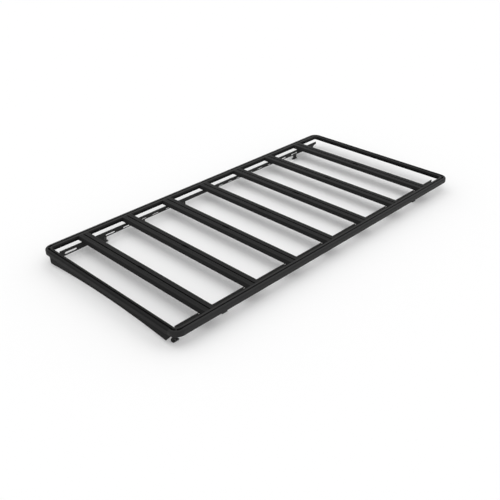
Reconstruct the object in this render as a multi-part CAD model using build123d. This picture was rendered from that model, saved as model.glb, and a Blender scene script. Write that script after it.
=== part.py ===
# Flat platform roof rack: a perimeter frame of slotted rails with cast corners,
# cross slats with a T-slot, two slotted mounting rails on feet, and a wind fairing.
# Millimetres. +Z up, the front faces -Y, origin on the floor under the rack's centre.
import os

from build123d import *

# Overall size
rack_length = 2368.0
rack_width = 1165.0
rack_height = 92.0

# Perimeter rail, an aluminium extrusion that is open towards the inside
rail_width = 39.0
rail_inner_height = 25.0
rail_skirt = 4.0
rail_wall = 2.4
rail_shoulder_radius = 8.2
rail_inner_edge_radius = 1.5
rail_slot_from_outside = 21.5

# T-slot shared by the rails and the slats
slot_mouth = 8.4
slot_channel_width = 17.0
slot_channel_depth = 7.5
slot_lip = 2.6
slot_box_wall = 2.4

# Corner castings, with a spigot in the open side of each rail
corner_outer_radius = 55.0
corner_straight = 2.0
corner_inner_radius = 5.0
corner_pocket_width = 13.0
corner_pocket_depth = 20.0
corner_wall = 4.0
corner_rib = 4.0
spigot_length = 46.0
spigot_recess = 7.0
spigot_clearance = 0.3

# Cross slats
slat_count = 7
end_bay = 252.2
slat_top_width = 64.5
slat_base_width = 84.0
slat_base_edge = 3.0
slat_height = 20.5
slat_wall = 2.2
slat_edge_radius = 2.5
slat_groove_offset = 17.5
slat_groove_width = 2.4
slat_groove_depth = 0.8
notch_length = 57.0
notch_inset = 0.7

# Angle brackets that carry the slats on the mounting rails
bracket_length = 44.0
bracket_reach = 30.0
bracket_drop = 19.5
bracket_thickness = 4.0
bracket_bend_radius = 3.0

# Mounting rails, vertical slotted plates under the slats, arched along their lower edge
plate_inset = 42.0
plate_thickness = 4.0
plate_top_gap = 1.5
plate_under_front_rail = 5.0
plate_nose_length = 24.0
plate_nose_drop = 18.0
plate_rear_setback = 80.0
plate_waist = 23.4
plate_waist_behind_middle = 30.0
plate_arch_radius = 43500.0
plate_horn_height = 16.5
plate_horn_radius = 50.0
foot_tab_length = 28.0
foot_tab_radius = 7.0
middle_tab_ahead = 30.0
tab_behind_second_slat = 84.0
tab_behind_third_slat = 100.6

# Slots in the mounting rails, hung from one line
slot_line_below_top = 16.7
front_slot_height = 13.0
tall_slot_height = 9.0
low_slot_height = 5.0
front_slot = 78.0
long_slot = 66.0
medium_slot = 48.0
short_slot = 36.0

# Distances of the slots' middles from the middle of their bay
far_ahead = 62.0
ahead = 34.0
just_ahead = 2.0
behind = 28.0
front_slot_behind = 36.0
well_behind = 50.0
far_behind = 80.0
before_next_slat = 115.0
at_next_slat = 127.0

# Bay number, place in the bay, length, height
plate_slots = (
    (0, front_slot_behind, front_slot, front_slot_height),
    (1, -just_ahead, long_slot, tall_slot_height),
    (1, before_next_slat, medium_slot, tall_slot_height),
    (2, -far_ahead, short_slot, low_slot_height),
    (2, behind, medium_slot, low_slot_height),
    (2, at_next_slat, short_slot, low_slot_height),
    (4, -ahead, short_slot, low_slot_height),
    (4, well_behind, short_slot, low_slot_height),
    (4, at_next_slat, short_slot, low_slot_height),
    (5, -far_ahead, short_slot, low_slot_height),
    (5, behind, medium_slot, low_slot_height),
    (5, at_next_slat, short_slot, low_slot_height),
    (6, -ahead, medium_slot, tall_slot_height),
    (6, far_behind, long_slot, tall_slot_height),
)

# Feet, angle brackets on the outside of the mounting rails
foot_thickness = 5.0
foot_bend_radius = 3.0
foot_neck = 26.0
foot_flare = 12.0
foot_flange_reach = 21.0
foot_corner_radius = 5.0
foot_bolt_below_top = 37.0
foot_bolt_hole = 9.0
foot_top_margin = 11.0
foot_tab_margin = 13.0
foot_base_hole = 9.0
front_foot_setback = 21.0
middle_foot_behind_slat = 108.8
rear_foot_ahead_of_slat = 63.8

# Wind fairing, a folded sheet under the front rail
fairing_thickness = 3.0
fairing_bend_radius = 2.0
fairing_drop = 72.0
fairing_top_back = 19.0
fairing_bottom_back = 2.0
fairing_top_inset = 42.5
fairing_bottom_inset = 77.5
fairing_arch_rise = 15.7
fairing_corner_radius = 6.0
fairing_clearance = 1.0

# Values that follow from the driving sizes
half_length = rack_length / 2
half_width = rack_width / 2
rail_height = rail_inner_height + rail_skirt
slot_box_depth = slot_lip + slot_channel_depth + slot_box_wall
corner_reach = corner_outer_radius + corner_straight
slat_length = rack_width - 2 * rail_width
slat_pitch = (rack_length - 2 * end_bay) / (slat_count - 1)
plate_from_centre = half_width - rail_width - plate_inset
plate_inner_face = plate_from_centre - plate_thickness / 2
plate_outer_face = plate_from_centre + plate_thickness / 2
plate_top = rack_height - slat_height - plate_top_gap
slot_line = plate_top - slot_line_below_top
plate_front = -half_length + rail_width - plate_under_front_rail
plate_rear = half_length - plate_rear_setback
foot_bolt_height = plate_top - foot_bolt_below_top
foot_tab_bottom = foot_bolt_height - foot_tab_margin


def rectangle(x0, y0, x1, y1):
    return Pos((x0 + x1) / 2, (y0 + y1) / 2) * Rectangle(x1 - x0, y1 - y0)


def round_corner(sketch, x, y, radius):
    nearest = sketch.vertices().sort_by_distance((x, y, 0))[0]
    return fillet(nearest, radius)


# Section of a bent angle: the upright's outer face is at x = 0 and the leg lies along y = 0
def angle_section(upright, leg, thickness, bend_radius):
    section = rectangle(0, 0, thickness, upright) + rectangle(0, 0, leg, thickness)
    section = round_corner(section, thickness, thickness, bend_radius)
    return round_corner(section, 0, 0, bend_radius + thickness)


def slot_section(centre):
    mouth = rectangle(centre - slot_mouth / 2, -slot_lip, centre + slot_mouth / 2, 0)
    half = slot_channel_width / 2
    channel = rectangle(centre - half, -slot_lip - slot_channel_depth, centre + half, -slot_lip)
    return mouth + channel


# Rail section: x runs inward from the outer face, y up from the top face
def rail_section():
    body = rectangle(0, -rail_inner_height, rail_width, 0)
    body += rectangle(0, -rail_height, rail_wall, -rail_inner_height)
    body = round_corner(body, 0, 0, rail_shoulder_radius)
    body = round_corner(body, rail_width, 0, rail_inner_edge_radius)
    half_box = slot_channel_width / 2 + slot_box_wall
    outer_void = rectangle(rail_wall, -slot_box_depth, rail_slot_from_outside - half_box, -rail_wall)
    outer_void = round_corner(outer_void, rail_wall, -rail_wall, rail_shoulder_radius - rail_wall)
    inner_void = rectangle(
        rail_slot_from_outside + half_box, -slot_box_depth, rail_width - rail_wall, -rail_wall
    )
    open_side = rectangle(rail_wall, -rail_inner_height + rail_wall, rail_width, -slot_box_depth)
    return body - outer_void - inner_void - open_side - slot_section(rail_slot_from_outside)


# A rail that starts at a point of the outer top edge and runs along a direction
def make_rail(start, inward, along, length):
    plane = Plane(origin=start, x_dir=inward, z_dir=along)
    return extrude(plane * rail_section(), length)


# The edges of the top face along one side of the casting: 0 is the outside, 1 the inside
def rim_edges(body, side):
    top_edges = body.edges().group_by(Axis.Z)[-1]
    arcs = top_edges.filter_by(GeomType.CIRCLE).sort_by(SortBy.RADIUS, reverse=True)
    along_x = top_edges.filter_by(Axis.X).sort_by(Axis.Y)
    along_y = top_edges.filter_by(Axis.Y).sort_by(Axis.X)
    return [arcs[side], along_x[side], along_y[side]]


# Corner casting: x and y run inward from the sharp outer corner, z up from the top face
def make_corner():
    plan = rectangle(0, 0, corner_reach, rail_width) + rectangle(0, 0, rail_width, corner_reach)
    plan = round_corner(plan, 0, 0, corner_outer_radius)
    plan = round_corner(plan, rail_width, rail_width, corner_inner_radius)
    body = extrude(plan, -rail_inner_height)
    body = fillet(rim_edges(body, 1), rail_inner_edge_radius)
    body = fillet(rim_edges(body, 0), rail_shoulder_radius)
    skirt_outside = round_corner(rectangle(0, 0, corner_reach, corner_reach), 0, 0, corner_outer_radius)
    skirt_inside = rectangle(rail_wall, rail_wall, corner_reach, corner_reach)
    skirt_inside = round_corner(skirt_inside, rail_wall, rail_wall, corner_outer_radius - rail_wall)
    body += Pos(0, 0, -rail_inner_height) * extrude(skirt_outside - skirt_inside, -rail_skirt)
    return body - make_corner_pockets() + make_spigots()


# The two pockets carry the rails' slots round to a diagonal rib
def make_corner_pockets():
    near = rail_slot_from_outside - corner_pocket_width / 2
    far = rail_slot_from_outside + corner_pocket_width / 2
    pocket = rectangle(near, near, corner_reach, far) + rectangle(near, near, far, corner_reach)
    limit = Pos(corner_outer_radius, corner_outer_radius) * Circle(corner_outer_radius - corner_wall)
    limit += rectangle(corner_outer_radius, near, corner_reach, corner_reach)
    limit += rectangle(near, corner_outer_radius, corner_reach, corner_reach)
    rib = Rot(0, 0, 45) * Rectangle(4 * corner_reach, corner_rib)
    return extrude((pocket & limit) - rib, -corner_pocket_depth)


# A tongue at each end that slides into the rail's open side
def make_spigots():
    section = rectangle(
        rail_wall + spigot_clearance,
        -rail_inner_height + rail_wall + spigot_clearance,
        rail_width - spigot_recess,
        -slot_box_depth - spigot_clearance,
    )
    along_x = Plane(origin=(corner_reach, 0, 0), x_dir=(0, 1, 0), z_dir=(1, 0, 0))
    spigot = extrude(along_x * section, spigot_length)
    return spigot + mirror(spigot, Plane(origin=(0, 0, 0), x_dir=(1, 1, 0), z_dir=(1, -1, 0)))


# Slat section: x across the slat, y up from the top face
def slat_section():
    top = slat_top_width / 2
    base = slat_base_width / 2
    outline = Polyline(
        (-base, -slat_height),
        (base, -slat_height),
        (base, -slat_height + slat_base_edge),
        (top, 0),
        (-top, 0),
        (-base, -slat_height + slat_base_edge),
        close=True,
    )
    body = make_face(outline)
    hollow = offset(body, -slat_wall, kind=Kind.INTERSECTION)
    half_box = slot_channel_width / 2 + slot_box_wall
    chamber = hollow & rectangle(half_box, -slat_height, base, 0)
    under_slot = hollow & rectangle(
        -slot_channel_width / 2, -slat_height, slot_channel_width / 2, -slot_box_depth
    )
    body = round_corner(body, top, 0, slat_edge_radius)
    body = round_corner(body, -top, 0, slat_edge_radius)
    body = body - chamber - mirror(chamber, Plane.YZ) - under_slot - slot_section(0)
    for side in (-1, 1):
        middle = side * slat_groove_offset
        groove = Polyline(
            (middle - slat_groove_width / 2, 0),
            (middle + slat_groove_width / 2, 0),
            (middle, -slat_groove_depth),
            close=True,
        )
        body -= make_face(groove)
    return body


# Slat with a notch in its middle, where bolt heads drop into the slot
def make_slat(y):
    plane = Plane(origin=(-slat_length / 2, y, rack_height), x_dir=(0, 1, 0), z_dir=(1, 0, 0))
    slat = extrude(plane * slat_section(), slat_length)
    notch = SlotOverall(notch_length, slot_channel_width - 2 * notch_inset)
    return slat - Pos(0, y, rack_height - slot_lip) * extrude(notch, slot_lip)


def slat_y(number):
    return (number - (slat_count - 1) / 2) * slat_pitch


# Bay 0 lies in front of the first slat, and each later bay behind the slat of its number
def bay_y(number):
    return slat_y(number) - slat_pitch / 2


# Angle under a slat: the upright lies on the mounting rail's inner face and the leg points inward
def make_bracket(side, y):
    section = angle_section(bracket_drop, bracket_reach, bracket_thickness, bracket_bend_radius)
    plane = Plane(
        origin=(side * plate_inner_face, y, rack_height - slat_height),
        x_dir=(-side, 0, 0),
        z_dir=(0, -side, 0),
    )
    return extrude(plane * section, bracket_length / 2, both=True)


# Mounting rail outline: x runs along the rack, y up, both from the rack's origin
def plate_outline(tab_places):
    outline = rectangle(plate_front, foot_tab_bottom, plate_rear, plate_top)
    arch_centre = plate_top - plate_waist - plate_arch_radius
    outline -= Pos(plate_waist_behind_middle, arch_centre) * Circle(plate_arch_radius)
    outline += rectangle(plate_front, foot_tab_bottom, tab_places[0], plate_top)
    outline += rectangle(tab_places[1] - middle_tab_ahead, foot_tab_bottom, tab_places[1], plate_top)
    for y in tab_places:
        outline += rectangle(y - foot_tab_length / 2, foot_tab_bottom, y + foot_tab_length / 2, plate_top)
    outline = fillet(outline.vertices().group_by(Axis.Y)[0], foot_tab_radius)
    nose_back = -half_length + rail_width + plate_nose_length
    outline -= rectangle(plate_front, plate_top - plate_nose_drop, nose_back, plate_top)
    horn_level = plate_top - plate_horn_height
    outline -= Pos(plate_rear, horn_level - plate_horn_radius) * Circle(plate_horn_radius)
    for bay, place, length, height in plate_slots:
        outline -= Pos(bay_y(bay) + place, slot_line - height / 2) * SlotOverall(length, height)
    for y in tab_places:
        outline -= Pos(y, foot_bolt_height) * Circle(foot_bolt_hole / 2)
    return outline


def make_mounting_rail(side, tab_places):
    plane = Plane(origin=(side * plate_from_centre, 0, 0), x_dir=(0, 1, 0), z_dir=(1, 0, 0))
    return extrude(plane * plate_outline(tab_places), plate_thickness / 2, both=True)


# Foot: a bent angle on the mounting rail's outer face; its upright flares towards one end
def make_foot(side, y, flare):
    half = foot_neck / 2
    tip = half + foot_flare
    height = foot_bolt_height + foot_top_margin
    section = angle_section(height, foot_flange_reach, foot_thickness, foot_bend_radius)
    plane = Plane(origin=(0, tip, 0), x_dir=(1, 0, 0), z_dir=(0, -1, 0))
    foot = extrude(plane * section, tip + half)
    shoulder = foot_thickness + foot_flare
    above_flare = rectangle(half, foot_thickness, tip, height)
    above_flare -= Pos(half, foot_thickness) * Circle(foot_flare)
    above_flare += rectangle(half, shoulder, tip, height)
    side_view = Plane(origin=(0, 0, 0), x_dir=(0, 1, 0), z_dir=(1, 0, 0))
    foot -= extrude(side_view * above_flare, foot_thickness)
    foot -= extrude(side_view * (Pos(0, foot_bolt_height) * Circle(foot_bolt_hole / 2)), foot_thickness)
    outer_edges = foot.edges().filter_by(Axis.Z).group_by(Axis.X)[-1]
    foot = fillet(outer_edges, foot_corner_radius)
    hole_x = (foot_thickness + foot_flange_reach) / 2
    foot -= extrude(Pos(hole_x, (tip - half) / 2) * Circle(foot_base_hole / 2), foot_thickness)
    if flare < 0:
        foot = mirror(foot, Plane.XZ)
    if side < 0:
        foot = mirror(foot, Plane.YZ)
    return Pos(side * plate_outer_face, y, 0) * foot


# Fairing: a flange on the front rail's underside, folded into a sheet that leans forward
def make_fairing():
    top = rack_height - rail_inner_height
    bottom = rack_height - fairing_drop
    fold = -half_length + fairing_top_back
    lip = -half_length + fairing_bottom_back
    flange_back = plate_front - fairing_clearance
    section = make_face(
        Polyline(
            (fold, top),
            (flange_back, top),
            (flange_back, top - fairing_thickness),
            (fold + fairing_thickness, top - fairing_thickness),
            (lip + fairing_thickness, bottom),
            (lip, bottom),
            close=True,
        )
    )
    inner_bend = fold + fairing_thickness
    section = round_corner(section, inner_bend, top - fairing_thickness, fairing_bend_radius)
    section = round_corner(section, fold, top, fairing_bend_radius + fairing_thickness)
    half_top = half_width - fairing_top_inset
    half_bottom = half_width - fairing_bottom_inset
    plane = Plane(origin=(-half_top, 0, 0), x_dir=(0, 1, 0), z_dir=(1, 0, 0))
    sheet = extrude(plane * section, 2 * half_top)
    ends = top - fairing_thickness
    front_view = make_face(
        [
            Line((-half_top, top), (half_top, top)),
            Line((half_top, top), (half_top, ends)),
            Line((half_top, ends), (half_bottom, bottom)),
            ThreePointArc((half_bottom, bottom), (0, bottom + fairing_arch_rise), (-half_bottom, bottom)),
            Line((-half_bottom, bottom), (-half_top, ends)),
            Line((-half_top, ends), (-half_top, top)),
        ]
    )
    front_view = fillet(front_view.vertices().group_by(Axis.Y)[0], fairing_corner_radius)
    view = Plane(origin=(0, -half_length, 0), x_dir=(1, 0, 0), z_dir=(0, -1, 0))
    return sheet & extrude(view * front_view, 2 * rail_width, both=True)


parts = {}

side_length = rack_length - 2 * corner_reach
end_length = rack_width - 2 * corner_reach
parts["right_side_rail"] = make_rail((half_width, -side_length / 2, rack_height), (-1, 0, 0), (0, 1, 0), side_length)
parts["left_side_rail"] = make_rail((-half_width, side_length / 2, rack_height), (1, 0, 0), (0, -1, 0), side_length)
parts["front_rail"] = make_rail((-end_length / 2, -half_length, rack_height), (0, 1, 0), (1, 0, 0), end_length)
parts["rear_rail"] = make_rail((end_length / 2, half_length, rack_height), (0, -1, 0), (-1, 0, 0), end_length)

corner = make_corner()
corner_places = {
    "front_left_corner": (-half_width, -half_length, 0),
    "front_right_corner": (half_width, -half_length, 90),
    "rear_right_corner": (half_width, half_length, 180),
    "rear_left_corner": (-half_width, half_length, 270),
}
for name, (x, y, turn) in corner_places.items():
    parts[name] = Pos(x, y, rack_height) * Rot(0, 0, turn) * corner

for number in range(slat_count):
    parts[f"slat_{number + 1}"] = make_slat(slat_y(number))

foot_rows = {
    "front": (plate_front + front_foot_setback, -1),
    "middle": (slat_y(0) + middle_foot_behind_slat, 1),
    "rear": (slat_y(slat_count - 1) - rear_foot_ahead_of_slat, 1),
}
tab_places = [y for y, flare in foot_rows.values()]
tab_places += [slat_y(1) + tab_behind_second_slat, slat_y(2) + tab_behind_third_slat]
for side, side_name in ((-1, "left"), (1, "right")):
    parts[f"{side_name}_mounting_rail"] = make_mounting_rail(side, tab_places)
    for number in range(slat_count):
        parts[f"slat_{number + 1}_{side_name}_bracket"] = make_bracket(side, slat_y(number))
    for row, (y, flare) in foot_rows.items():
        parts[f"{row}_{side_name}_foot"] = make_foot(side, y, flare)

parts["wind_fairing"] = make_fairing()

os.makedirs("parts", exist_ok=True)
for name, shape in parts.items():
    export_step(shape, f"parts/{name}.step")
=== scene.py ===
import math

import bmesh
import bpy
from mathutils import Matrix, Vector


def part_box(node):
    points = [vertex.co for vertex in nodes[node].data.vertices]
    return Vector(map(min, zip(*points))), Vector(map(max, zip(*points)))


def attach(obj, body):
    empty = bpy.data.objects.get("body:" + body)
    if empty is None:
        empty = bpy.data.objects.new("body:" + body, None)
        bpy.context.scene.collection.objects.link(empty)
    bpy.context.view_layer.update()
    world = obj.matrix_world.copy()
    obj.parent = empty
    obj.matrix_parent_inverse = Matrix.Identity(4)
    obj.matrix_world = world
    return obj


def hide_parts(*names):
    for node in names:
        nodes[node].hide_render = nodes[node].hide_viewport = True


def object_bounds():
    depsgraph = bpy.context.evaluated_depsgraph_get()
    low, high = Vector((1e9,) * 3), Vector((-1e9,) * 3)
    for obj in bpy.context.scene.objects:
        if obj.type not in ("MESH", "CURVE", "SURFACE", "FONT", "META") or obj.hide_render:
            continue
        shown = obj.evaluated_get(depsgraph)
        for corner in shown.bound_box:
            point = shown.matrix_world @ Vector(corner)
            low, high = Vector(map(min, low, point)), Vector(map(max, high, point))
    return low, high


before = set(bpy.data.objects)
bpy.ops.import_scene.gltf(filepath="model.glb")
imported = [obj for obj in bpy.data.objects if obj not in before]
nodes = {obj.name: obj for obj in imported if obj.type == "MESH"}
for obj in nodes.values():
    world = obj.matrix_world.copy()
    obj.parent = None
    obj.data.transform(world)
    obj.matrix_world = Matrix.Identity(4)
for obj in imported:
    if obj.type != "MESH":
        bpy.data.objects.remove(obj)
cadBox = [list(corner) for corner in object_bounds()]
print("frame loaded:", len(nodes), "pieces")


class Wire:
    # one socket of a shader; maths on it adds the nodes
    def __init__(self, tree, socket=None):
        self.tree = tree
        self.socket = socket

    # any node: its type, settings, the values or links of its sockets, the output to go on with
    def node(self, kind, settings=None, sockets=None, output=0):
        made = self.tree.nodes.new(kind)
        for key, value in (settings or {}).items():
            if key == "stops":
                fillRamp(made.color_ramp, value)
            else:
                setattr(made, key, value)
        for key, value in (sockets or {}).items():
            if isinstance(value, Wire):
                self.tree.links.new(value.socket, made.inputs[key])
            else:
                made.inputs[key].default_value = value
        return Wire(self.tree, made.outputs[output] if made.outputs else None)

    def maths(self, operation, first, second):
        return self.node("ShaderNodeMath", {"operation": operation}, {0: first, 1: second})

    def __add__(self, other):
        return self.maths("ADD", self, other)

    def __radd__(self, other):
        return self.maths("ADD", other, self)

    def __sub__(self, other):
        return self.maths("SUBTRACT", self, other)

    def __rsub__(self, other):
        return self.maths("SUBTRACT", other, self)

    def __mul__(self, other):
        return self.maths("MULTIPLY", self, other)

    def __rmul__(self, other):
        return self.maths("MULTIPLY", other, self)


def fillRamp(ramp, stops):
    while len(ramp.elements) < len(stops):
        ramp.elements.new(0.5)
    for element, (place, value) in zip(ramp.elements, stops):
        element.position = place
        element.color = (value, value, value, 1)


# The empty node tree of a material or of the world
def emptyTree(owner):
    owner.use_nodes = True
    owner.node_tree.nodes.clear()
    return Wire(owner.node_tree)


def grey(value, warm=0.0):
    return (value * (1 + warm), value, value * (1 - warm), 1)


noiseRough = 0.55


def noise(place, scale, detail, stretch=(1, 1, 1)):
    spread = place.node("ShaderNodeMapping", {}, {"Vector": place, "Scale": stretch})
    return place.node(
        "ShaderNodeTexNoise",
        {},
        {"Vector": spread, "Scale": scale, "Detail": detail, "Roughness": noiseRough},
    )


def mixColour(factor, first, second):
    return factor.node(
        "ShaderNodeMix",
        {"data_type": "RGBA", "clamp_factor": True},
        {0: factor, 6: first, 7: second},
        2,
    )


# A bump of a height in metres, over the face's own normal or a given one
def bump(height, normal=None):
    sockets = {"Strength": 1.0, "Distance": 1.0, "Height": height}
    if normal is not None:
        sockets["Normal"] = normal
    return height.node("ShaderNodeBump", {}, sockets)


# Powder coat: a fine grain, faint drawing marks along the metal, a soft mottle and rubbed edges
coatLook = {
    "grainScale": 1100.0,    # about 1 mm across
    "grainDetail": 3.0,
    "grainHeight": 0.00016,  # metres
    "grainContrast": 3.2,
    "grainShare": 0.6,       # of the tone, the rest is the mottle
    "toneLow": 0.58,
    "toneHigh": 1.59,
    "markScale": 420.0,
    "markDetail": 2.0,
    "markStretch": 0.012,
    "markHeight": 0.00004,
    "mottleScale": 7.0,
    "mottleDetail": 4.0,
    "mottleRough": 0.10,
    "edgeRadius": 0.0011,
    "edgeSamples": 4,
    "edgeGain": 2.6,
    "edgeRough": 0.08,
    "edgeTone": 3,           # times the coat's own tone
    "edgeLift": 0.006,
    "edgeWarm": 0.02,
}


def makeCoat(finish):
    material = bpy.data.materials.new(finish["name"])
    start = emptyTree(material)
    place = start.node("ShaderNodeTexCoord", {}, {}, "Object")
    along = [1.0, 1.0, 1.0]
    if finish["along"] is not None:
        along["xyz".index(finish["along"])] = coatLook["markStretch"]
    grain = noise(place, coatLook["grainScale"], coatLook["grainDetail"])
    marks = noise(place, coatLook["markScale"], coatLook["markDetail"], along)
    mottle = noise(place, coatLook["mottleScale"], coatLook["mottleDetail"])

    # edges are where the rounded normal leaves the face's own
    rounded = start.node(
        "ShaderNodeBevel", {"samples": coatLook["edgeSamples"]}, {"Radius": coatLook["edgeRadius"]}
    )
    faceNormal = start.node("ShaderNodeNewGeometry", {}, {}, "Normal")
    alike = start.node(
        "ShaderNodeVectorMath", {"operation": "DOT_PRODUCT"}, {0: rounded, 1: faceNormal}, 1
    )
    edge = start.node("ShaderNodeClamp", {}, {0: (1 - alike) * coatLook["edgeGain"]})

    base = finish["base"]
    contrast = (grain - 0.5) * coatLook["grainContrast"] + 0.5
    flecks = start.node("ShaderNodeClamp", {}, {0: contrast})
    tone = flecks * coatLook["grainShare"] + mottle * (1 - coatLook["grainShare"])
    low, high = grey(base * coatLook["toneLow"]), grey(base * coatLook["toneHigh"])
    rubbed = grey(base * coatLook["edgeTone"] + coatLook["edgeLift"], coatLook["edgeWarm"])
    colour = mixColour(edge * finish["edgeWear"], mixColour(tone, low, high), rubbed)
    uneven = (mottle - 0.5) * coatLook["mottleRough"]
    rough = finish["rough"] + uneven - edge * coatLook["edgeRough"]
    drawn = marks * (coatLook["markHeight"] * finish["marks"])
    height = grain * coatLook["grainHeight"] + drawn
    shader = start.node(
        "ShaderNodeBsdfPrincipled",
        {},
        {
            "Base Color": colour,
            "Roughness": rough,
            "Normal": bump(height, rounded),
            "Specular IOR Level": finish["specular"],
        },
    )
    start.node("ShaderNodeOutputMaterial", {}, {"Surface": shader})
    return material


# One finish for each kind of piece; along is the direction the metal was drawn in
finishes = {
    # The side rails carry the end rails' black coat, set about three times brighter: the extra
    # tone is painted light, standing in for the stronger light and sheen on their faces towards +x
    # and along their length
    "sideRail": {
        "name": "side_rail_coat_with_painted_light", "base": 0.022, "rough": 0.48, "specular": 0.10,
        "along": "y", "marks": 1.0, "edgeWear": 0.3,
    },
    "endRail": {
        "name": "end_rail_coat", "base": 0.007, "rough": 0.48, "specular": 0.09,
        "along": "x", "marks": 1.0, "edgeWear": 0.3,
    },
    "slat": {
        "name": "slat_coat", "base": 0.0085, "rough": 0.50, "specular": 0.11,
        "along": "x", "marks": 1.0, "edgeWear": 0.3,
    },
    # The corner castings carry the same black coat, set lighter; part of that lift is a painted
    # highlight for the light on the casting's rounded top
    "corner": {
        "name": "corner_coat", "base": 0.0165, "rough": 0.50, "specular": 0.13,
        "along": None, "marks": 0.0, "edgeWear": 0.6,
    },
    "plate": {
        "name": "plate_coat", "base": 0.020, "rough": 0.52, "specular": 0.13,
        "along": None, "marks": 0.0, "edgeWear": 0.7,
    },
    # The feet carry the plates' black coat, set lighter: the extra tone is painted light on the
    # feet's outer faces, which face the brighter +x side
    "foot": {
        "name": "foot_coat_with_painted_light", "base": 0.034, "rough": 0.52, "specular": 0.13,
        "along": None, "marks": 0.0, "edgeWear": 0.6,
    },
    "fairing": {
        "name": "fairing_coat", "base": 0.008, "rough": 0.55, "specular": 0.12,
        "along": None, "marks": 0.0, "edgeWear": 0.5,
    },
}


def finishOf(name):
    if name.endswith("side_rail"):
        return "sideRail"
    if name in ("front_rail", "rear_rail"):
        return "endRail"
    if name.endswith("corner"):
        return "corner"
    if name.endswith(("mounting_rail", "bracket")):
        return "plate"
    if name.endswith("foot"):
        return "foot"
    if name.endswith("fairing"):
        return "fairing"
    return "slat"


coats = {kind: makeCoat(finish) for kind, finish in finishes.items()}
for name, piece in nodes.items():
    for materialSlot in piece.material_slots:
        materialSlot.material = coats[finishOf(name)]
print("coats:", len(coats))


# What all bolts share: scuffs that change the tone and the gloss, and a fine grain
steelGrain = {
    "scuffDetail": 4.0,
    "scuffShare": 0.5,
    "scuffRough": 0.3,
    "scuffWarm": 0.04,
    "grainScale": 2600.0,
    "grainDetail": 2.0,
    "grainHeight": 0.00003,  # metres
}

# Black-coated steel, a little brighter where a spanner has rubbed it
steelLook = {
    "name": "bolt_steel", "base": 0.028, "bright": 0.07, "rough": 0.44, "metallic": 0.2,
    "scuffScale": 160.0,
}


def makeSteel(look):
    material = bpy.data.materials.new(look["name"])
    start = emptyTree(material)
    place = start.node("ShaderNodeTexCoord", {}, {}, "Object")
    scuffs = noise(place, look["scuffScale"], steelGrain["scuffDetail"])
    grain = noise(place, steelGrain["grainScale"], steelGrain["grainDetail"])
    bright = grey(look["bright"], steelGrain["scuffWarm"])
    colour = mixColour(scuffs * steelGrain["scuffShare"], grey(look["base"]), bright)
    rough = look["rough"] + (scuffs - 0.5) * steelGrain["scuffRough"]
    shader = start.node(
        "ShaderNodeBsdfPrincipled",
        {},
        {
            "Base Color": colour,
            "Roughness": rough,
            "Metallic": look["metallic"],
            "Normal": bump(grain * steelGrain["grainHeight"]),
        },
    )
    start.node("ShaderNodeOutputMaterial", {}, {"Surface": shader})
    return material


steel = makeSteel(steelLook)


# A turned or hexagonal form: rings of (height, radius, True for a hexagon), closed at both ends
ringSteps = 36


def hexRadius(flat, angle):
    turn = angle % (math.pi / 3) - math.pi / 6
    return flat / math.cos(turn)


def turnForm(mesh, rings, place, direction):
    turn = Vector(direction).to_track_quat("Z", "Y").to_matrix().to_4x4()
    stand = Matrix.Translation(place) @ turn
    loops = []
    for height, radius, isHex in rings:
        loop = []
        for step in range(ringSteps):
            angle = 2 * math.pi * step / ringSteps
            reach = hexRadius(radius, angle) if isHex else radius
            point = Vector((reach * math.cos(angle), reach * math.sin(angle), height))
            loop.append(mesh.verts.new(stand @ point))
        loops.append(loop)
    for lower, upper in zip(loops, loops[1:]):
        bridge(mesh, lower + lower[:1], upper + upper[:1])
    mesh.faces.new(list(reversed(loops[0])))
    mesh.faces.new(loops[-1])


# Faces between two rows of points
def bridge(mesh, first, second):
    for (a, b), (c, d) in zip(zip(first, first[1:]), zip(second, second[1:])):
        mesh.faces.new((a, b, d, c))


sharpAngle = 32  # degrees; flatter edges are shaded smooth


def makePiece(name, build, material):
    mesh = bmesh.new()
    build(mesh)
    bmesh.ops.recalc_face_normals(mesh, faces=mesh.faces)
    data = bpy.data.meshes.new(name)
    mesh.to_mesh(data)
    mesh.free()
    for face in data.polygons:
        face.use_smooth = True
    data.set_sharp_from_angle(angle=math.radians(sharpAngle))
    data.materials.append(material)
    piece = bpy.data.objects.new(name, data)
    bpy.context.scene.collection.objects.link(piece)
    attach(piece, "root")
    return piece


# Hexagon bolt with a flange under its head, in metres
hexBolt = {
    "flange": 0.0088, "flangeThick": 0.0016, "flat": 0.0065, "high": 0.0072, "chamfer": 0.0009,
}


def addHexBolt(mesh, place, direction):
    flange, thick = hexBolt["flange"], hexBolt["flangeThick"]
    flat, high, chamfer = hexBolt["flat"], hexBolt["high"], hexBolt["chamfer"]
    rings = [
        (0.0, flange, False),
        (thick * 0.6, flange, False),            # rim of the flange
        (thick, flange - 0.0005, False),
        (thick + 0.0004, flat * 1.16, False),    # round foot of the head
        (thick + 0.0005, flat, True),
        (high - chamfer, flat, True),            # flats
        (high - chamfer * 0.2, flat * 0.97, False),
        (high, flat * 0.86, False),              # turned top, dished in the middle
        (high - 0.0004, flat * 0.74, False),
    ]
    turnForm(mesh, rings, place, direction)


# Thin nut on a washer, with the bolt's end showing through it
hexNut = {
    "washer": 0.0080, "washerThick": 0.0012, "flat": 0.0065, "high": 0.0050,
    "stub": 0.0040, "stubOut": 0.0010,
}


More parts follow.
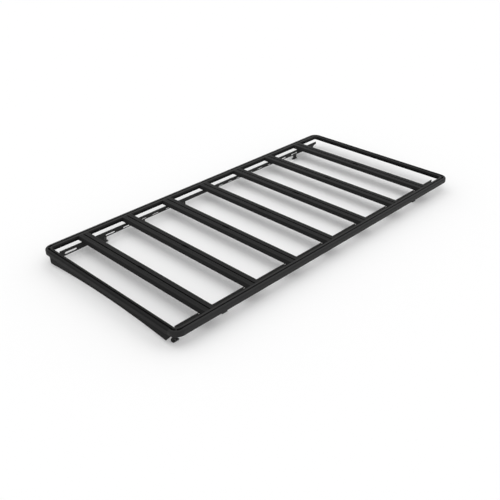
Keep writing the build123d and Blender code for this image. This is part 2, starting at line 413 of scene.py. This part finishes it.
def addHexNut(mesh, place, direction):
    washer, thick = hexNut["washer"], hexNut["washerThick"]
    flat, high = hexNut["flat"], hexNut["high"]
    stub, out = hexNut["stub"], hexNut["stubOut"]
    rings = [
        (0.0, washer, False),
        (thick * 0.75, washer, False),           # rim of the washer
        (thick, washer - 0.0004, False),
        (thick + 0.0001, flat * 0.99, False),
        (thick + 0.0008, flat, True),            # flats
        (high - 0.0008, flat, True),
        (high, flat * 0.93, False),
        (high - 0.0002, stub + 0.0006, False),   # start of the thread
        (high - 0.0008, stub, False),
        (high + out - 0.0007, stub, False),      # the bolt's end
        (high + out, stub - 0.0007, False),
    ]
    turnForm(mesh, rings, place, direction)


# Button-head screw with a hexagon socket
button = {"head": 0.0052, "high": 0.0031, "socket": 0.0020, "deep": 0.0016}


def addButton(mesh, place, direction, size=1.0):
    head, high = button["head"] * size, button["high"] * size
    socket, deep = button["socket"] * size, button["deep"] * size
    rings = [
        (0.0, head, False),
        (high * 0.22, head, False),              # upright rim, then the dome
        (high * 0.55, head * 0.92, False),
        (high * 0.84, head * 0.72, False),
        (high, head * 0.52, False),
        (high, socket * 1.18, False),            # flat round the socket
        (high - deep * 0.15, socket, True),
        (high - deep, socket, True),
    ]
    turnForm(mesh, rings, place, direction)


# Feet: a button-head bolt through the mounting rail and the upright, and its nut outside
footBolt = {"fromTop": 0.011, "fromNeckEnd": 0.013, "headSize": 1.35, "uprightThick": 0.005}
footRows = {"front": -1, "middle": 1, "rear": 1}
sides = {"left": -1, "right": 1}


# Each foot's side, the bolt's place, and how far out the mounting rail's two faces are
def feet():
    for row, flare in footRows.items():
        for side, sign in sides.items():
            low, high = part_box(f"{row}_{side}_foot")
            neckEnd = low.y if flare > 0 else high.y
            y = neckEnd + flare * footBolt["fromNeckEnd"]
            plateLow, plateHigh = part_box(f"{side}_mounting_rail")
            inner, outer = sorted((abs(plateLow.x), abs(plateHigh.x)))
            yield sign, y, high.z - footBolt["fromTop"], inner, outer


def buildFootBolts(mesh):
    for sign, y, z, inner, outer in feet():
        addButton(mesh, (sign * inner, y, z), (-sign, 0, 0), footBolt["headSize"])


def buildFootNuts(mesh):
    for sign, y, z, inner, outer in feet():
        addHexNut(mesh, (sign * (outer + footBolt["uprightThick"]), y, z), (sign, 0, 0))


makePiece("foot_bolts", buildFootBolts, steel)
makePiece("foot_nuts", buildFootNuts, steel)
print("feet bolted")


# Slat brackets: two screws into the mounting rail and one flange bolt up into the slat
bracketScrew = {"apart": 0.024, "belowTop": 0.0125, "thick": 0.004, "slatBoltFromOuter": 0.018}
slatCount = 7


# Each bracket's side, the middle of its length, how far out it reaches, and its top
def brackets():
    for number in range(1, slatCount + 1):
        for side, sign in sides.items():
            low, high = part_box(f"slat_{number}_{side}_bracket")
            yield sign, (low.y + high.y) / 2, max(abs(low.x), abs(high.x)), high.z


def buildBracketScrews(mesh):
    for sign, middle, outer, top in brackets():
        x = sign * (outer - bracketScrew["thick"])
        for step in (-0.5, 0.5):
            y = middle + step * bracketScrew["apart"]
            addButton(mesh, (x, y, top - bracketScrew["belowTop"]), (-sign, 0, 0))


def buildSlatBolts(mesh):
    for sign, middle, outer, top in brackets():
        x = sign * (outer - bracketScrew["slatBoltFromOuter"])
        addHexBolt(mesh, (x, middle, top - bracketScrew["thick"]), (0, 0, -1))


# A small bare screw in the mounting rail, just in front of each slat
railScrew = {"fromSlat": 0.0385, "belowTop": 0.0045, "size": 0.78}
bareLook = {
    "name": "screw_zinc", "base": 0.60, "bright": 0.82, "rough": 0.30, "metallic": 1.0,
    "scuffScale": 300.0,
}


def buildRailScrews(mesh):
    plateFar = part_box("right_mounting_rail")[1]
    z = plateFar.z - railScrew["belowTop"]
    for sign, middle, outer, top in brackets():
        place = (sign * plateFar.x, middle - railScrew["fromSlat"], z)
        addButton(mesh, place, (sign, 0, 0), railScrew["size"])


makePiece("rail_screws", buildRailScrews, makeSteel(bareLook))
makePiece("bracket_screws", buildBracketScrews, steel)
makePiece("slat_bolts", buildSlatBolts, steel)
print("brackets bolted")


# Fairing: a row of screws up through its flange into the front rail
fairingScrew = {"count": 6, "fromBack": 0.0062, "endGap": 0.075, "thick": 0.003, "size": 0.85}


def buildFairingScrews(mesh):
    low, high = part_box("wind_fairing")
    first = low.x + fairingScrew["endGap"]
    span = high.x - low.x - 2 * fairingScrew["endGap"]
    for step in range(fairingScrew["count"]):
        x = first + span * step / (fairingScrew["count"] - 1)
        place = (x, high.y - fairingScrew["fromBack"], high.z - fairingScrew["thick"])
        addButton(mesh, place, (0, 0, -1), fairingScrew["size"])


makePiece("fairing_screws", buildFairingScrews, steel)
print("fairing screwed")


# Corner castings: the rail's outline swept round the corner, with a pocket each side of a rib
casting = {
    "outerRadius": 0.055,
    "straight": 0.002,       # from the end of the bend to the rail
    "width": 0.039,
    "high": 0.025,           # on the inside; the skirt hangs lower outside
    "skirt": 0.004,
    "wall": 0.0024,
    "shoulder": 0.0082,
    "innerEdge": 0.0015,
    "softEdge": 0.0005,
    "pocketFromOutside": 0.0215,
    "pocketWidth": 0.013,
    "pocketDeep": 0.020,
    "pocketLip": 0.0008,
    "pocketFoot": 0.002,
    "rib": 0.004,
    "turnSteps": 12,         # each side of the rib
    "edgeSteps": 6,
}

# The tongue that a casting pushes into the open end of a rail
tongue = {
    "near": 0.0027, "far": 0.032, "under": 0.0128, "low": 0.0223, "long": 0.046,
    "softEdge": 0.0012, "sunk": 0.001,
}


# A right-angled outline with each corner rounded by its own radius, as one run of points a corner
def softOutline(corners):
    runs = []
    for index, (across, down, radius) in enumerate(corners):
        corner = Vector((across, down))
        before = (Vector(corners[index - 1][:2]) - corner).normalized()
        after = (Vector(corners[(index + 1) % len(corners)][:2]) - corner).normalized()
        steps = casting["edgeSteps"] if radius else 0
        run = []
        for step in range(steps + 1):
            angle = math.pi / 2 * step / steps if steps else 0.0
            swing = after * (1 - math.cos(angle)) + before * (1 - math.sin(angle))
            run.append(corner + swing * radius)
        runs.append(run)
    return runs


# One row of the sweep: the outline stands on a line that runs inward from base
def standRow(mesh, outline, base, inward, corner):
    row = []
    for across, down in outline:
        x, y = base[0] + inward[0] * across, base[1] + inward[1] * across
        place = (
            corner[0] * (cadBox[1][0] - x),
            corner[1] * (cadBox[1][1] - y),
            cadBox[1][2] + down,
        )
        row.append(mesh.verts.new(place))
    return row


# The outline in two runs: down into the pocket and out of it, and all the way round the rest
def castingOutline():
    half = casting["pocketWidth"] / 2
    near, far = casting["pocketFromOutside"] - half, casting["pocketFromOutside"] + half
    lip, pocketFoot, deep = casting["pocketLip"], casting["pocketFoot"], casting["pocketDeep"]
    width, high, wall = casting["width"], casting["high"], casting["wall"]
    foot = -high - casting["skirt"]
    runs = softOutline([
        (near, 0.0, lip),
        (near, -deep, pocketFoot),
        (far, -deep, pocketFoot),
        (far, 0.0, lip),
        (width, 0.0, casting["innerEdge"]),
        (width, -high, casting["softEdge"]),
        (wall, -high, 0.0),
        (wall, foot, 0.0),
        (0.0, foot, casting["softEdge"]),
        (0.0, 0.0, casting["shoulder"]),
    ])
    return sum(runs[:4], []), sum(runs[4:], [])


# The stations of the sweep, from rail to rail: where each stands and which way is inward
def castingStations(reach):
    radius, steps = casting["outerRadius"], casting["turnSteps"]
    halfRib = casting["rib"] / 2 / (radius - casting["pocketFromOutside"])
    toRib = [(math.pi / 4 - halfRib) * step / steps for step in range(steps + 1)]
    angles = toRib + [math.pi / 4] + [math.pi / 2 - angle for angle in reversed(toRib)]
    stations = [((reach, 0.0), (0.0, 1.0))]
    for angle in angles:
        inward = (math.sin(angle), math.cos(angle))
        stations.append(((radius * (1 - inward[0]), radius * (1 - inward[1])), inward))
    stations.append(((0.0, reach), (1.0, 0.0)))
    return stations


def addCasting(mesh, corner):
    pocket, rest = castingOutline()
    rim = [pocket[0], pocket[-1]]
    reach = casting["outerRadius"] + casting["straight"]
    stations = castingStations(reach)
    middle = len(stations) // 2  # on the rib, where the pocket is closed
    pockets, rests = [], []
    for index, (base, inward) in enumerate(stations):
        outline = rim if index == middle else pocket
        pockets.append(standRow(mesh, outline, base, inward, corner))
        rests.append(standRow(mesh, rest, base, inward, corner))
    rims = [[row[0], row[-1]] for row in pockets]
    outsides = [[row[-1]] + other + [row[0]] for row, other in zip(pockets, rests)]
    for index in range(len(stations) - 1):
        bridge(mesh, outsides[index], outsides[index + 1])
        inside = rims if middle in (index, index + 1) else pockets
        bridge(mesh, inside[index], inside[index + 1])
    for index in (middle - 1, middle + 1):
        mesh.faces.new(pockets[index])
    for index in (0, -1):
        mesh.faces.new(pockets[index] + rests[index])
    for turned in (False, True):
        addTongue(mesh, corner, reach, turned)


def addTongue(mesh, corner, reach, turned):
    soft, long = tongue["softEdge"], tongue["long"]
    rows = []
    for out, inset in ((-tongue["sunk"], 0.0), (long - soft, 0.0), (long, soft)):
        near, far = tongue["near"] + inset, tongue["far"] - inset
        upper, lower = -tongue["under"] - inset, -tongue["low"] + inset
        runs = softOutline([
            (near, upper, soft), (near, lower, soft), (far, lower, soft), (far, upper, soft),
        ])
        base, inward = (reach + out, 0.0), (0.0, 1.0)
        if turned:
            base, inward = base[::-1], inward[::-1]
        rows.append(standRow(mesh, sum(runs, []), base, inward, corner))
    for first, second in zip(rows, rows[1:]):
        bridge(mesh, first + first[:1], second + second[:1])
    mesh.faces.new(rows[0])
    mesh.faces.new(rows[-1])


for end, endSign in (("front", -1), ("rear", 1)):
    for side, sign in sides.items():
        made = makePiece(
            f"{end}_{side}_casting",
            lambda mesh: addCasting(mesh, (sign, endSign)),
            coats["corner"],
        )
        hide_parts(f"{end}_{side}_corner")
print("corners cast")


# Corner joints: two screws a joint, up through the rail's lower flange into the casting's tongue
cornerScrew = {"fromJoint": (0.012, 0.034), "fromOutside": 0.0174, "skirt": 0.004}


def buildCornerScrews(mesh):
    sideLow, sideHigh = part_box("right_side_rail")
    endLow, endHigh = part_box("rear_rail")
    under = sideLow.z + cornerScrew["skirt"]
    sideX = sideHigh.x - cornerScrew["fromOutside"]
    endY = endHigh.y - cornerScrew["fromOutside"]
    for x in (-1, 1):
        for y in (-1, 1):
            for inside in cornerScrew["fromJoint"]:
                addButton(mesh, (x * sideX, y * (sideHigh.y - inside), under), (0, 0, -1))
                addButton(mesh, (x * (endHigh.x - inside), y * endY, under), (0, 0, -1))


makePiece("corner_screws", buildCornerScrews, steel)
print("corners screwed")


# Floor: a wide sheet of pale paper
floorLook = {"half": 60.0, "albedo": 0.95}


def makeFloor(look):
    data = bpy.data.meshes.new("studio_floor")
    half = look["half"]
    corners = [(-half, -half, 0), (half, -half, 0), (half, half, 0), (-half, half, 0)]
    data.from_pydata(corners, [], [(0, 1, 2, 3)])
    floor = bpy.data.objects.new("studio_floor", data)
    bpy.context.scene.collection.objects.link(floor)
    material = bpy.data.materials.new("floor_paper")
    start = emptyTree(material)
    shader = start.node("ShaderNodeBsdfDiffuse", {}, {"Color": grey(look["albedo"])})
    start.node("ShaderNodeOutputMaterial", {}, {"Surface": shader})
    data.materials.append(material)


makeFloor(floorLook)

# World: the only light; its level by the height of the direction, 0 below, 0.5 level, 1 overhead
skyLook = {
    "stops": [(0.0, 0.7), (0.5, 0.965), (0.53, 0.92), (0.6, 0.88), (0.85, 0.92), (1.0, 1.3)],
    "strength": 1.04,
}


def makeSky(look):
    world = bpy.data.worlds.new("studio_sky")
    bpy.context.scene.world = world
    start = emptyTree(world)
    direction = start.node("ShaderNodeTexCoord", {}, {}, "Generated")
    height = start.node("ShaderNodeSeparateXYZ", {}, {"Vector": direction}, "Z")
    place = height * 0.5 + 0.5
    level = start.node("ShaderNodeValToRGB", {"stops": look["stops"]}, {"Fac": place})
    sockets = {"Color": level, "Strength": look["strength"]}
    glow = start.node("ShaderNodeBackground", {}, sockets)
    start.node("ShaderNodeOutputWorld", {}, {"Surface": glow})


makeSky(skyLook)
print("stage lit")

# Camera at the photograph's place, by its right, up and backward directions
cameraLook = {
    "place": (2.6356, -2.7230, 2.046),
    "right": (0.71038, 0.70363, -0.016525),
    "up": (-0.34860, 0.37215, 0.86024),
    "back": (0.61144, -0.60533, 0.50965),
    "lens": 50.0,
    "sensor": 36.0,
    "farClip": 200.0,
}


def makeCamera(look):
    data = bpy.data.cameras.new("camera")
    data.lens = look["lens"]
    data.sensor_width = look["sensor"]
    data.clip_end = look["farClip"]
    camera = bpy.data.objects.new("camera", data)
    turn = Matrix((look["right"], look["up"], look["back"])).transposed()
    camera.matrix_world = Matrix.Translation(look["place"]) @ turn.to_4x4()
    bpy.context.scene.collection.objects.link(camera)
    bpy.context.scene.camera = camera


makeCamera(cameraLook)
bpy.context.scene.view_settings.view_transform = "Standard"
print("camera placed")
